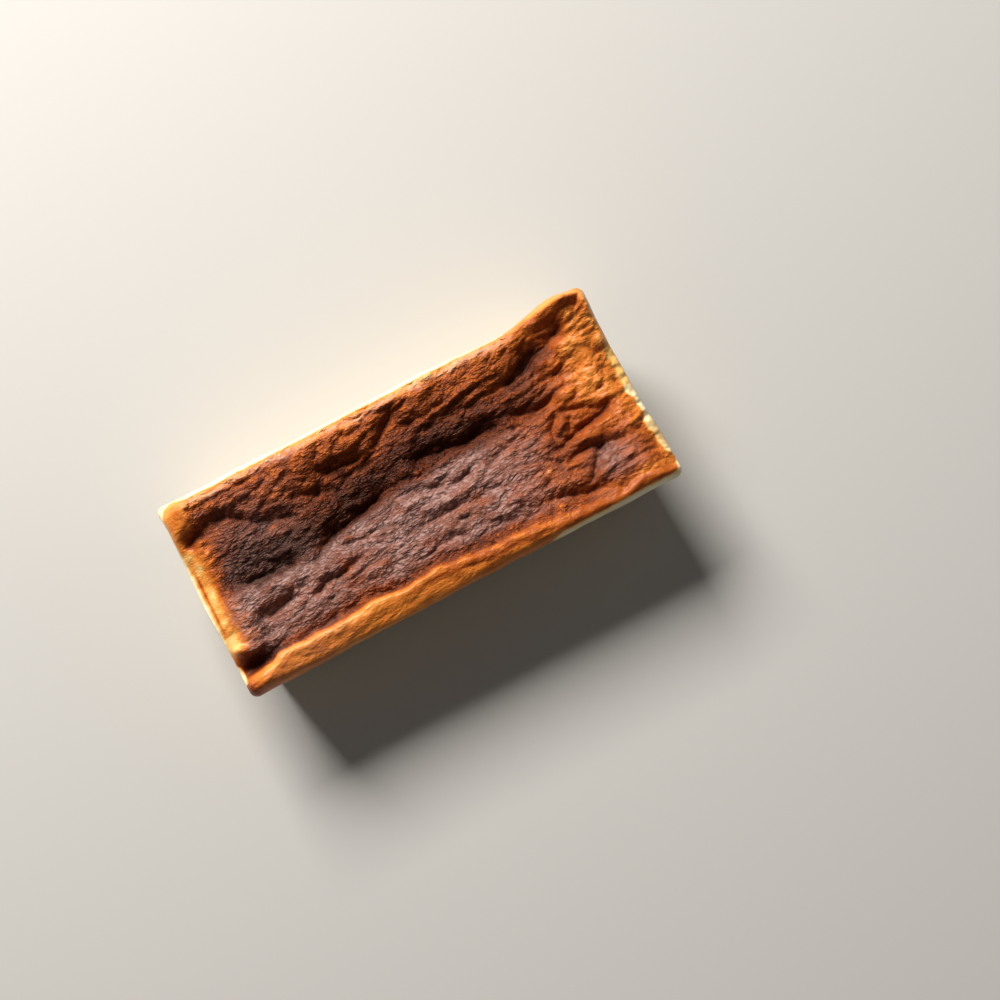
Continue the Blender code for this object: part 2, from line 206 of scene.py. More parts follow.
def from_edge(x, y):
    """Distance in from the rounded outline."""
    a = LENGTH / 2.0 - np.abs(x)
    b = WIDTH / 2.0 - np.abs(y)
    corner = CORNER_RADIUS - np.hypot(np.maximum(CORNER_RADIUS - a, 0.0), np.maximum(CORNER_RADIUS - b, 0.0))
    return np.where(np.maximum(a, b) < CORNER_RADIUS, corner, np.minimum(a, b))


def swell(x, y, centre, half_length, half_width, turn, height):
    """A rounded swell, or a hollow where the height is negative."""
    c = math.cos(math.radians(turn))
    s = math.sin(math.radians(turn))
    dx = x - centre[0]
    dy = y - centre[1]
    u = (c * dx + s * dy) / half_length
    v = (c * dy - s * dx) / half_width
    return height * np.exp(-(u * u + v * v))


def wander(x, y, z):
    """Push the walls and the outline in and out a little, as wet batter sets against paper."""
    (slow, slow_push), (quick, quick_push) = WALL_WAVES
    slow_level, quick_level = WALL_LEVELS
    push = slow_push * waver(x / slow, y / slow, slow_level)
    push = push + quick_push * waver(x / quick, y / quick, quick_level + z / WALL_WAVE_RISE)
    for values in BULGES.values():
        push = push + swell(x, y, *values)
    push = push * smooth(1.0 - from_edge(x, y) / WAVER_REACH)
    return x + push * x / (LENGTH / 2.0), y + push * y / (WIDTH / 2.0), z


def shoulder_height(x, y):
    """Height of the walls, which stand taller at the ear and along the south."""
    return SHOULDER_HEIGHT + swell(x, y, *EAR) + swell(x, y, *SOUTH_WALL)


def wall_point(u, v, share):
    """Place of the wall's point under the top's edge point (u, v), at a share of the wall's height."""
    x, y = rounded_plan(u, v)
    height = share * shoulder_height(x, y)
    inset = WALL_TAPER * np.maximum(1.0 - height / SHOULDER_HEIGHT, 0.0)
    inset = inset + BASE_EDGE * (1.0 - np.minimum(height / BASE_EDGE, 1.0))
    x = x * (1.0 - 2.0 * inset / LENGTH)
    y = y * (1.0 - 2.0 * inset / WIDTH)
    return wander(x, y, height)


# The skin's folds
# The top dries into a leathery skin while the batter is risen. When the cake sinks as it cools, the skin is
# too large for it: it hangs in folds between the rims, with a deep valley along the middle and an ear at the
# north-east corner.
# Across the width: the floor of the valley, and what the north slope and the plateau stand above it
VALLEY_FLOOR = 41.0
NORTH_RISE = 4.6
NORTH_SLOPE = (8.0, 34.0)
NORTH_EDGE_DROP = 2.2
NORTH_CREST = 33.5
PLATEAU_RISE = 1.6
PLATEAU_START = 5.0
PLATEAU_SLOPE = 16.0
# The south rim: how far out its crest runs, in the middle, at the east and at the west corner, then its rise
# and its two slopes
SOUTH_CREST = -31.0
SOUTH_CREST_RUN = (-15.0, 85.0, 6.0)
SOUTH_CREST_CORNER = (-68.0, 18.0, 3.5)
SOUTH_RISE = 3.0
SOUTH_RISE_LOSS = (20.0, 40.0, 1.4)
SOUTH_INNER_SLOPE = 3.6
SOUTH_OUTER_DROP = 1.9
SOUTH_OUTER_SLOPE = 8.5
# Each end: a low swell, then a fall to the edge. Where each starts, how long it is, and how high
EAST_SWELL = (72.0, 8.0, 1.0)
EAST_FALL = (80.0, 10.0, 2.8)
WEST_SWELL = (76.0, 5.0, 0.8)
WEST_FALL = (80.0, 11.0, 3.6)
# Waver of all those lines: length of its waves and how far they push, coarse and fine
LINE_WAVES = ((14.0, 1.6), (5.0, 0.5))
WAVER_LEVELS = (0.0, 9.0, 4.0)
# The ear's crest follows the outline: its reach about the corner and its height, then how far in it runs and
# its width
EAR_RIDGE = ((81, 39), 13.0, 13.0, 0, 5.2)
EAR_RIDGE_IN = 1.8
EAR_RIDGE_WIDTH = 2.6

# Swells and hollows: centre, half length, half width, turn in degrees, height
SWELLS = {
    "north-west knob": ((-83, 31), 6.5, 6.0, 20, 1.6),
    "behind the ear": ((82, 34), 10.0, 7.0, 0, 1.2),
    "north-east hollow": ((60, 27), 10.0, 5.0, 30, -2.2),
    "south-west curl": ((-86, -22), 3.2, 2.0, -20, 3.2),
    "south-west pocket": ((-81.5, -29), 6.5, 3.6, 10, -6.0),
    "south-west tip": ((-88, -37), 3.0, 3.0, 0, 1.5),
    "south-east lump": ((70, -27), 9.0, 7.5, 0, 2.0),
    "east pocket": ((68.5, -16.5), 3.4, 2.2, 10, -1.6),
    "east end swell": ((80, 12), 5.0, 12.0, 0, 0.8),
    "east fold's back": ((66, 5), 8.0, 4.0, 0, 0.9),
    "puff under the north rim": ((-20, 27), 13.0, 4.5, -3, 1.0),
    "west lobe": ((-64, -7), 9.0, 5.5, 0, 2.4),
    "west lobe's end": ((-53.5, -11), 3.0, 3.0, 0, -1.5),
    "west end puff": ((-77.5, -13), 2.6, 6.0, 0, 1.3),
    "west plateau": ((-57, -20), 11.0, 5.5, 0, 1.2),
    "plateau lobe": ((-41, -8.5), 9.0, 4.0, 0, 1.0),
    "east finger": ((65.5, -11), 10.0, 2.2, 16, 1.6),
    "east column": ((58.3, -4.8), 5.5, 2.0, 70, 1.2),
    "lump's west puff": ((61.5, -28.5), 3.5, 3.0, 0, 1.0),
    "middle plateau": ((-34, -1), 13.0, 5.0, 10, 1.3),
}

# Creases: start, end, how far the middle bows to the left of that way, depth, and the widths of the two sides
CREASES = {
    "under the north puff": ((-33, 25.5), (-9, 22), -2.0, 3.9, 2.6, 3.5),
    "up from the north puff": ((-13, 22), (7, 33), -1.3, 3.6, 2.6, 3.0),
    "valley, west": ((-79, -1.5), (-46, -4.5), 2.6, 4.6, 4.2, 2.2),
    "valley, middle": ((-52, -5.5), (-2, 8.5), 1.2, 5.4, 4.4, 3.4),
    "valley, east of middle": ((0, 11.5), (43, 9), -1.4, 4.8, 4.0, 4.5),
    "valley, east": ((40, 10.5), (64, 9), -2.0, 3.6, 3.0, 3.5),
    "under the north-west knob": ((-88, 21.5), (-73, 28), -1.0, 3.9, 2.8, 3.4),
    "down from the knob": ((-78, 28), (-58, 17), 1.4, 3.6, 2.6, 3.2),
    "north slope, west": ((-64, 19.5), (-40, 13), -1.4, 2.0, 2.5, 3.0),
    "north slope, low": ((-46, 20), (-22, 12), 1.0, 1.9, 1.8, 2.8),
    "north slope, middle": ((-30, 17), (-4, 20), -1.0, 1.8, 1.8, 2.8),
    "north slope, high east": ((-4, 23.5), (30, 25.5), -0.8, 2.0, 1.8, 2.6),
    "north slope, low east": ((6, 19), (40, 19.5), 0.8, 1.9, 1.8, 2.6),
    "hollow, south side": ((36, 22), (63, 21.5), -1.4, 3.6, 3.4, 3.4),
    "hollow, up to the ear": ((53, 20), (81, 31.5), 0.9, 4.4, 3.8, 3.0),
    "below the hollow": ((56, 16), (74, 19), -2.0, 2.0, 2.2, 2.6),
    "plateau, north edge": ((-42, -2.5), (-16, -4), -3.2, 1.6, 1.2, 2.2),
    "under the west lobe": ((-74, -15.5), (-56, -12.5), -0.8, 3.2, 1.8, 2.6),
    "round the west lobe's end": ((-58, -14), (-46, -12), -2.4, 1.8, 1.6, 2.2),
    "under the plateau lobe": ((-50, -11.5), (-29, -9.5), -3.6, 2.4, 1.6, 2.4),
    "west end, across": ((-73, -8), (-74.5, -25), 0.6, 2.0, 1.8, 2.0),
    "plateau, middle": ((-4, 1.5), (28, -4.5), -1.4, 2.1, 2.0, 3.0),
    "plateau, east": ((24, -4.5), (48, 3), -0.8, 2.2, 2.0, 2.8),
    "plateau, long line": ((-18, -11), (36, -13), -1.0, 1.8, 1.8, 2.8),
    "east fold": ((48, -12.5), (84, -3), -0.3, 4.0, 2.4, 2.6),
    "east column, west side": ((58.5, 4), (52.5, -9.5), 0.4, 2.2, 1.6, 1.6),
    "east column, east side": ((63, -1), (59.5, -9), 0.0, 1.6, 1.5, 1.5),
    "above the east fold": ((56, 3), (77, -4.5), 0.3, 2.0, 1.8, 2.2),
    "east finger, south side": ((53, -17), (70, -16), 0.6, 2.4, 1.6, 2.0),
    "round the south-east lump": ((63, -20), (79, -19.5), 3.2, 3.0, 2.0, 2.2),
    "south-east lump, west side": ((66.5, -17.5), (57, -29.5), 1.0, 2.0, 1.8, 1.8),
    "west of the lump": ((44, -12), (62, -22), 1.0, 1.5, 2.0, 2.2),
    "foot of the south rim, west": ((-74, -28.5), (-12, -28), 0.5, 1.2, 2.5, 2.0),
    "plateau's south edge": ((-12, -24), (22, -23.5), 0.8, 1.5, 2.2, 2.4),
    "foot of the south rim": ((14, -24.5), (42, -27.5), -0.9, 2.0, 2.2, 2.4),
    "foot of the south rim, east": ((34, -24.5), (70, -36), 1.2, 2.8, 2.4, 2.4),
}
# Steps along each crease, the share of its length over which it fades at each end, how blunt its bottom is,
# over what width its two sides pass into each other, what power steepens them, and the depth and width of the
# pinch along its bottom
CREASE_STEPS = 8
CREASE_ENDS = 0.3
CREASE_BLUNTNESS = 0.3
CREASE_BLEND = 3.0
CREASE_POWER = 1.25
CREASE_PINCH = (0.22, 0.8)


def bowed_line(start, end, bow):
    """Points along a line whose middle stands off its chord by bow, to the left."""
    start = np.array(start, float)
    end = np.array(end, float)
    chord = end - start
    left = np.array([-chord[1], chord[0]]) / np.linalg.norm(chord)
    handle = (start + end) / 2.0 + 2.0 * bow * left
    t = np.linspace(0.0, 1.0, CREASE_STEPS + 1)[:, None]
    return (1 - t) ** 2 * start + 2 * t * (1 - t) * handle + t ** 2 * end


def beside(x, y, line):
    """Distance of each point to a line, its offset to the left, and where along the line it lies, 0 to 1."""
    gap = np.full(x.shape, np.inf)
    left = np.zeros(x.shape)
    along = np.zeros(x.shape)
    for k in range(len(line) - 1):
        start = line[k]
        step = line[k + 1] - start
        t = np.clip(((x - start[0]) * step[0] + (y - start[1]) * step[1]) / (step @ step), 0.0, 1.0)
        dx = x - start[0] - t * step[0]
        dy = y - start[1] - t * step[1]
        distance = np.hypot(dx, dy)
        nearer = distance < gap
        gap = np.where(nearer, distance, gap)
        left = np.where(nearer, (step[0] * dy - step[1] * dx) / math.sqrt(step @ step), left)
        along = np.where(nearer, (k + t) / (len(line) - 1), along)
    return gap, left, along


def crease(x, y, start, end, bow, depth, left_width, right_width):
    """A crease that fades out at both ends, with a narrow pinch along its bottom."""
    gap, left, along = beside(x, y, bowed_line(start, end, bow))
    width = right_width + (left_width - right_width) * smooth(0.5 + left / CREASE_BLEND)
    fade = smooth(along / CREASE_ENDS) * smooth((1.0 - along) / CREASE_ENDS)
    blunt = np.sqrt(gap ** 2 + CREASE_BLUNTNESS ** 2)
    pinch, pinch_width = CREASE_PINCH
    broad = np.exp(-(blunt / width) ** CREASE_POWER)
    return -depth * fade * (broad + pinch * np.exp(-blunt / pinch_width))


def wavered(x, y):
    """Shift points a little, so that no fold runs dead straight."""
    wx = x
    wy = y
    x_level, y_level, step = WAVER_LEVELS
    for k, (size, push) in enumerate(LINE_WAVES):
        wx = wx + push * waver(x / size, y / size, x_level + step * k)
        wy = wy + push * waver(x / size, y / size, y_level + step * k)
    return wx, wy


def south_crest(x):
    """Where the crest of the south rim runs: well in at the west, out to the edge at the east."""
    start, run, shift = SOUTH_CREST_RUN
    corner, corner_run, corner_shift = SOUTH_CREST_CORNER
    return SOUTH_CREST - shift * smooth((x - start) / run) - corner_shift * smooth((corner - x) / corner_run)


def fold_height(x, y):
    """Height of the skin's broad folds above the base, in millimetres."""
    wx, wy = wavered(x, y)
    low, high = NORTH_SLOPE
    z = VALLEY_FLOOR + NORTH_RISE * smooth((wy - low) / (high - low))
    z = z - NORTH_EDGE_DROP * smooth((wy - NORTH_CREST) / (WIDTH / 2.0 - NORTH_CREST))
    z = z + PLATEAU_RISE * smooth((PLATEAU_START - wy) / PLATEAU_SLOPE)
    crest = south_crest(wx)
    start, run, loss = SOUTH_RISE_LOSS
    rise = SOUTH_RISE - loss * smooth((wx - start) / run)
    z = z + rise * smooth((crest + SOUTH_INNER_SLOPE - wy) / SOUTH_INNER_SLOPE)
    z = z - SOUTH_OUTER_DROP * smooth((crest - wy) / SOUTH_OUTER_SLOPE)
    for way, (rise_at, rise_run, rise), (fall_at, fall_run, fall) in (
            (1.0, EAST_SWELL, EAST_FALL), (-1.0, WEST_SWELL, WEST_FALL)):
        z = z + rise * smooth((way * wx - rise_at) / rise_run)
        z = z - fall * smooth((way * wx - fall_at) / fall_run)
    z = z + swell(wx, wy, *EAR_RIDGE) * np.exp(-((from_edge(x, y) - EAR_RIDGE_IN) / EAR_RIDGE_WIDTH) ** 2)
    for values in SWELLS.values():
        z = z + swell(wx, wy, *values)
    for values in CREASES.values():
        z = z + crease(wx, wy, *values)
    return z


# The skin's wrinkles
# On the folds lies a mesh of lengthwise wrinkles, as on dried leather: puffs a few millimetres wide with
# sharp creases between them, leaning over to the south, and finer ones on their backs.
WRINKLE_SEED = 23
WRINKLE_LENGTH = 14.0
WRINKLE_WIDTH = 6.5
WRINKLE_LEAN = 1.0
WRINKLE_DEPTH = 2.0
WRINKLE_LEVEL = 0.35
WRINKLE_SLANT = 0.10
WRINKLE_SWING = (22.0, 16.0, 0.18, 0.30)
SWING_LEVELS = (21.0, 25.0)
OCTAVE_LEVEL = 7.3
SCALE_SEED = 47
# Small scales: length, width, depth and how far each leans over to the south, in millimetres
SCALES = ((5.2, 3.4, 0.80, 0.5), (2.2, 1.4, 0.32, 0.3))
SCALE_SHIFT = 31.0
# How far their grid swings, at which levels of the noise, and the dome height that leaves the skin as it is
SCALE_SWING = 0.35
SCALE_SWING_LEVELS = (50.0, 60.0)
SCALE_LEVEL = 0.72
# The south rim and the west end were stretched smooth: the share of the wrinkles' depth that is left there
RIM_WRINKLES = 0.35
RIM_WRINKLES_START = 3.0
WEST_WRINKLES_START = 79.0
RIM_WRINKLES_RUN = 3.5

wrinkle = Waves(WRINKLE_SEED)
scale_draw = np.random.default_rng(SCALE_SEED).random((256, 256, 2))


def puffs(x, y, octaves):
    """Rounded puffs parted by sharp creases: 0 in a crease, about 0.5 on a puff."""
    total = 0.0
    for k in range(octaves):
        total = total + 0.5 ** k * np.abs(wrinkle(x * 2 ** k, y * 2 ** k, OCTAVE_LEVEL * k))
    return total


def wrinkle_flow(x, y):
    """The lengthwise grid of the wrinkles, swung about in slow waves."""
    long, wide, swing_along, swing_across = WRINKLE_SWING
    along_level, across_level = SWING_LEVELS
    u = x / WRINKLE_LENGTH + swing_along * waver(x / long, y / wide, along_level)
    v = (y - WRINKLE_SLANT * x) / WRINKLE_WIDTH + swing_across * waver(x / long, y / wide, across_level)
    return u, v


def wrinkles(x, y):
    """Lengthwise wrinkles whose puffs lean over to the south."""
    u, v = wrinkle_flow(x, y)
    v = v + WRINKLE_LEAN / WRINKLE_WIDTH * puffs(u, v, 1)
    return WRINKLE_DEPTH * (puffs(u, v, 3) - WRINKLE_LEVEL)


def domes(u, v):
    """Low domes crowded together with sharp creases between them: 0 to 1, one to a cell of a loose grid."""
    column = np.floor(u).astype(int)
    row = np.floor(v).astype(int)
    nearest = np.full(u.shape, 9.0)
    for side in range(-1, 2):
        for over in range(-1, 2):
            jitter = scale_draw[(column + side) % 256, (row + over) % 256]
            du = column + side + jitter[..., 0] - u
            dv = row + over + jitter[..., 1] - v
            nearest = np.minimum(nearest, du * du + dv * dv)
    return 1.0 - np.minimum(nearest, 1.0)


def scales(x, y):
    """The small scales on the backs of the wrinkles, each leaning over the next one to the south."""
    u, v = wrinkle_flow(x, y)
    along_level, across_level = SCALE_SWING_LEVELS
    total = 0.0
    for k, (length, width, depth, lean) in enumerate(SCALES):
        a = u * WRINKLE_LENGTH / length + SCALE_SHIFT * k
        b = v * WRINKLE_WIDTH / width + SCALE_SHIFT * k
        a = a + SCALE_SWING * wrinkle(a, b, along_level + k)
        b = b + SCALE_SWING * wrinkle(a, b, across_level + k)
        b = b + lean / width * domes(a, b)
        total = total + depth * (domes(a, b) - SCALE_LEVEL)
    return total


def stretched(wx, wy):
    """Share of the wrinkles' depth that is left: all in the middle, little on the south rim and west end."""
    on_rim = smooth((south_crest(wx) + RIM_WRINKLES_START - wy) / RIM_WRINKLES_RUN)
    at_west = smooth((-wx - WEST_WRINKLES_START) / RIM_WRINKLES_RUN)
    return 1.0 - (1.0 - RIM_WRINKLES) * np.maximum(on_rim, at_west)


def top_point(u, v):
    """Place of a grid point of the top."""
    x, y = rounded_plan(u, v)
    height = fold_height(x, y) + stretched(*wavered(x, y)) * (wrinkles(x, y) + scales(x, y))
    t = np.clip(from_edge(x, y) / SHOULDER_DEPTH, 0.0, 1.0)
    shoulder = shoulder_height(x, y)
    z = shoulder + (height - shoulder) * np.sqrt(1.0 - (1.0 - t) ** 2)
    return wander(x, y, z)


# The cake's one body
# It is one piece, so it is one mesh: a fine grid over the top, drawn down in rows for the walls and closed
# below. The rows lie closer near the shoulder, and the last but one lies at a small share of the height.
SQUARES_ALONG = 400
SQUARES_ACROSS = 180
WALL_ROWS = 18
WALL_CROWDING = 1.4
BASE_ROW = 0.047

bm = bmesh.new()
bmesh.ops.create_grid(bm, x_segments=SQUARES_ALONG, y_segments=SQUARES_ACROSS, size=1.0)
rows = [list(bm.verts)]
rim = [edge for edge in bm.edges if edge.is_boundary]
for _ in range(WALL_ROWS):
    drawn = bmesh.ops.extrude_edge_only(bm, edges=rim)["geom"]
    rows.append([item for item in drawn if isinstance(item, bmesh.types.BMVert)])
    rim = [item for item in drawn if isinstance(item, bmesh.types.BMEdge) and item.is_boundary]
bmesh.ops.contextual_create(bm, geom=rim)
bmesh.ops.recalc_face_normals(bm, faces=bm.faces)
bm.verts.index_update()
grid = np.array([vert.co[:2] for vert in bm.verts])
places = np.zeros((len(bm.verts), 3))
row_of = np.zeros(len(bm.verts), int)
for k, row in enumerate(rows):
    at = np.array([vert.index for vert in row])
    row_of[at] = k
    u, v = grid[at, 0], grid[at, 1]
    if k == 0:
        place = top_point(u, v)
    else:
        down = min(k / (WALL_ROWS - 1.0), 1.0) ** WALL_CROWDING
        share = 1.0 - (1.0 - BASE_ROW) * down if k < WALL_ROWS else 0.0
        place = wall_point(u, v, share)
    places[at] = np.stack(place, -1)
body_mesh = bpy.data.meshes.new("baked_cheesecake")
bm.to_mesh(body_mesh)
bm.free()
middle = (places.min(axis=0) + places.max(axis=0)) / 2.0
places[:, :2] -= middle[:2]
body_mesh.vertices.foreach_set("co", (places * MM).ravel())
body_mesh.update()
body_mesh.shade_smooth()
body = bpy.data.objects.new("baked_cheesecake", body_mesh)
scene.collection.objects.link(body)


# How far each place is browned
# Oven heat from above burns the middle nearly black-brown. Towards the rims the skin stays orange, then
# yellow, and the shoulder and walls, which touched the paper, stay cream.
# The browning value also carries painted shade in creases and hollows and a painted highlight, laid on below.
BROWN_MIDDLE = 0.71
# Paler towards each side: where that starts, over what distance, and by how much
PALER_NORTH = ((16.0, 14.0, 0.10), (29.0, 8.0, 0.10))
PALER_EAST = ((14.0, 34.0, 0.09), (54.0, 20.0, 0.20))
PALER_WEST = ((73.5, 8.0, 0.23),)
PALER_EDGE = (5.0, 0.05)
# Blotches and the smaller patches: their length, width and level in the noise, and how much browner they are
BLOTCHES = (24.0, 14.0, 90.0)
PATCHES = (7.0, 3.5, 95.0)
BLOTCH_BROWN = 0.06
PATCH_BROWN = 0.04
# Per millimetre of height, painted light and shade: the backs of the wrinkles are drawn paler and the creases
# between the scales browner
WRINKLE_SHADING = 0.05
SCALE_CREASE_SHADE = 0.13


def eased(value, start, run):
    """Ease from 0 at start to 1 a run further on. A negative run climbs towards the smaller values."""
    return smooth((value - start) / run)


x, y, z = places.T
on_top = row_of == 0
edge = from_edge(x, y)
wx, wy = wavered(x, y)
relief = np.where(on_top, stretched(wx, wy) * wrinkles(x, y), 0.0)
fine = np.where(on_top, stretched(wx, wy) * scales(x, y), 0.0)
length, width, level = BLOTCHES
blotch = waver(x / length, y / width, level)
length, width, level = PATCHES
patch = waver(x / length, y / width, level)
brown_and_shade = np.full(len(x), BROWN_MIDDLE)
for towards, steps in ((wy, PALER_NORTH), (wx, PALER_EAST), (-wx, PALER_WEST)):
    for start, run, loss in steps:
        brown_and_shade -= loss * eased(towards, start, run)
reach, loss = PALER_EDGE
brown_and_shade -= loss * smooth(1.0 - edge / reach)
brown_and_shade += BLOTCH_BROWN * blotch + PATCH_BROWN * patch
# Painted light on the wrinkles' backs and painted shade in the scales' creases
brown_and_shade -= WRINKLE_SHADING * relief + SCALE_CREASE_SHADE * np.minimum(fine, 0.0)

# Zones darker or paler than their surroundings, most by their browning: centre, half length, half width,
# turn, amount. The valley zones, the north-east hollow, the knob's shade and the two pockets also carry
# painted shade
BROWNING_AND_SHADE_ZONES = {
    # The valley is browner and also carries painted shade where it lies in shade
    "valley": ((-24, 7), 56.0, 9.0, 8, 0.24),
    "valley, west": ((-62, 3), 16.0, 5.0, 0, 0.22),
    "valley, east": ((48, 11), 18.0, 5.0, 0, 0.07),
    "north-west knob": ((-84, 30), 7.0, 7.0, 0, 0.05),
    "north-east corner": ((77, 34), 8.0, 6.0, 0, 0.05),
    "east end": ((81, 14), 12.0, 14.0, 0, -0.01),
    "ear's outer slope": ((84, 26), 6.0, 7.0, 0, 0.10),
    "east end, south": ((80, -14), 12.0, 8.0, 0, 0.12),
    "south-east edge": ((83, -27), 5.0, 8.0, 0, 0.08),
    # Painted shadow cast by the knob
    "shade under the knob": ((-76, 25), 7.0, 3.0, 10, 0.10),
    # Painted shade in the north-east hollow, over its browning
    "north-east hollow": ((61, 23.5), 12.0, 3.8, 22, 0.40),
    "inside the ear": ((73, 31), 7.0, 4.0, 30, -0.04),
    "middle, east": ((32, 4), 14.0, 5.0, 5, 0.08),
    # Browner, with painted shade where this stretch of the valley lies in shade
    "valley, east of middle": ((22, 12), 22.0, 5.0, 0, 0.10),
    "west, north": ((-66, 10), 11.0, 8.0, 0, 0.12),
    "north-west rim": ((-84, 34), 6.0, 4.0, 0, 0.06),
    # Painted shade in the east pocket
    "east pocket": ((68, -18), 5.0, 3.0, 10, 0.24),
    "south-east lump": ((71, -25), 9.0, 8.0, 0, 0.24),
    # Painted shade in the deep south-west pocket
    "south-west pocket": ((-82, -28), 7.0, 4.0, 8, 0.58),
    "south-west tip": ((-88, -36), 4.0, 4.0, 0, 0.22),
}
for values in BROWNING_AND_SHADE_ZONES.values():
    brown_and_shade += swell(wx, wy, *values)

# Yellow flecks, where a bubble of butter kept the skin from browning: the same five values
FLECKS = {
    "north-west": ((-55, 13), 1.6, 0.7, 25, -0.20),
    "plateau lobe": ((-32, -4), 1.5, 0.9, 0, -0.36),
    "under the plateau lobe": ((-36, -14.5), 1.1, 0.8, 0, -0.36),
    "east plateau": ((45.5, -17.5), 0.8, 0.7, 0, -0.34),
    "north slope": ((-47, 24), 1.0, 0.6, 20, -0.25),
}
for values in FLECKS.values():
    brown_and_shade += swell(wx, wy, *values)

# South rim: orange-yellow over the crest, deeper orange-brown down its outer slope, and browner over the
# crest towards the east. Each change: how far out from the crest it starts, over what distance, and how much
RIM_BROWN = 0.33
RIM_CHANGES = ((0.8, 1.6, 0.11), (6.5, 2.5, -0.07))
RIM_PATCHES = 0.05
RIM_EAST = ((-40.0, 50.0), (4.0, -2.5), 0.18)
RIM_START = (-2.6, 2.0)

past_crest = south_crest(wx) - wy
rim_brown = RIM_BROWN + RIM_PATCHES * (patch + blotch)
for start, run, gain in RIM_CHANGES:
    rim_brown += gain * eased(past_crest, start, run)
along, across, gain = RIM_EAST
rim_brown += gain * eased(wx, *along) * eased(past_crest, *across)
on_rim = eased(past_crest, *RIM_START)
brown_and_shade = brown_and_shade * (1.0 - on_rim) + rim_brown * on_rim
brown_and_shade += swell(wx, wy, *BROWNING_AND_SHADE_ZONES["south-west tip"]) * on_rim

# West end: outside the crust's edge the slope is orange, then yellow, with a thin brown seam along the
# outline and a pale curl. Each limit is where it starts and over what distance it rises
WEST_BAND = ((-81.0, -3.0), (23.0, -5.0))
WEST_MIDDLE = -1.0
WEST_BROWN = 0.42
WEST_YELLOW = ((-83.0, -2.5), 0.17)
WEST_PATCHES = 0.20
WEST_PALEST = 0.19
WEST_SEAM = ((-84.0, -3.0), (15.0, -5.0))
WEST_SEAM_LINE = (1.7, 0.55, 0.26)
CURL = ((-86.5, -21.5), 2.6, 1.8, -20, -0.22)

along, across = WEST_BAND
band = eased(wx, *along) * eased(np.abs(wy - WEST_MIDDLE), *across)
yellow, loss = WEST_YELLOW
band_brown = np.maximum(WEST_BROWN - loss * eased(wx, *yellow) + WEST_PATCHES * patch, WEST_PALEST)
brown_and_shade = brown_and_shade * (1.0 - band) + band_brown * band
along, across = WEST_SEAM
line_in, line_width, gain = WEST_SEAM_LINE
seam = np.exp(-((edge - line_in) / line_width) ** 2)
brown_and_shade += gain * seam * eased(x, *along) * eased(np.abs(y - WEST_MIDDLE), *across)
brown_and_shade += swell(wx, wy, *CURL)

# The thin lip along the outline is paler than the skin behind it, less so by the ear and least at the
# north-west corner. Along the north rim's crest a pale painted highlight is laid on the skin
RIM_LIP = ((5.8, -3.0), (-20.0, 12.0), 0.14)
LIP_LOSS_EAST = ((66.0, 10.0), 0.5)
LIP_LOSS_WEST = ((-72.0, -8.0), 0.8)
BY_EAR = ((54.0, 10.0), (20.0, 8.0))
SHEEN_LINE = (34.6, 1.3)
SHEEN_ENDS = ((60.0, -12.0), (-84.0, 8.0))
SHEEN_PALER = 0.15

along, across = BY_EAR
by_ear = eased(x, *along) * eased(y, *across)
inward, across, loss = RIM_LIP
lip = eased(edge, *inward) * eased(y, *across)
for along, share in (LIP_LOSS_EAST, LIP_LOSS_WEST):
    lip *= 1.0 - share * eased(x, *along)
brown_and_shade -= loss * lip
line_y, line_width = SHEEN_LINE
sheen = np.exp(-((wy - line_y) / line_width) ** 2)
for along in SHEEN_ENDS:
    sheen *= eased(x, *along)
# Painted highlight along the north rim's crest
brown_and_shade -= SHEEN_PALER * sheen

# Round the ear the skin keeps its orange right to the outline
EAR_RIM = (9.0, -4.0)
EAR_BROWN = 0.31
EAR_DEEPER = ((1.2, 2.2), (26.0, 6.0), 0.20)
EAR_PATCHES = 0.05

ear_rim = by_ear * eased(edge, *EAR_RIM)
inward, across, gain = EAR_DEEPER
ear_brown = EAR_BROWN + gain * eased(edge, *inward) * eased(y, *across) + EAR_PATCHES * patch
brown_and_shade += (np.maximum(brown_and_shade, ear_brown) - brown_and_shade) * ear_rim

# Painted shade in the creases: they are drawn browner, which shows where the skin is still orange
CREASE_SHADE = 0.08
CREASE_SHADE_SHOWS = (0.62, -0.25)

creased = np.zeros(len(x))
for values in CREASES.values():
    creased -= crease(wx, wy, *values)
brown_and_shade += CREASE_SHADE * creased * eased(brown_and_shade, *CREASE_SHADE_SHOWS)

# Where the skin ends
# The skin ends a little in from the outline and the pale custard shows. On the near side the skin reaches
# over the edge instead, and its brown runs some way down the wall.
# How far in from the outline it ends, along each side, in millimetres
SKIN_END = {
    "everywhere": -0.8,
    "north": 3.4,
    "east": 3.5,
    "south, east part": 1.1,
    "south, west part": -7.0,
    "west": 1.1,
    "south-west tip": 2.2,
    "ear": -2.5,
}
# The end is ragged: size, level and push of its waves, and how much more ragged it is at the east
RAGGED = ((3.0, 97.0, 0.35), (9.0, 99.0, 0.5))
RAGGED_SHARE = (0.5, 2.8)
# Over what distance the skin passes into the custard, on the top and on the walls
SKIN_EDGE_TOP = 1.1
SKIN_EDGE_WALL = 3.0
NORTH_WEST_LOSS = ((-78.0, -6.0), 0.5)
# Each side's stretch of the outline: where it starts and over what distance, and the same of its ends
NORTH_SIDE = (34.0, 3.0)
EAST_SIDE = (83.0, 3.0)
EAST_SIDE_ENDS = ((20.0, -5.0), (-34.0, 6.0))
SOUTH_SIDE = (-34.0, -3.0)
SOUTH_SIDE_EAST_PART = (4.0, 40.0)
WEST_SIDE = (-84.0, -3.0)
WEST_SIDE_END = (-27.0, 6.0)
TIP_ENDS = ((-25.0, -3.0), (-37.0, 3.0))

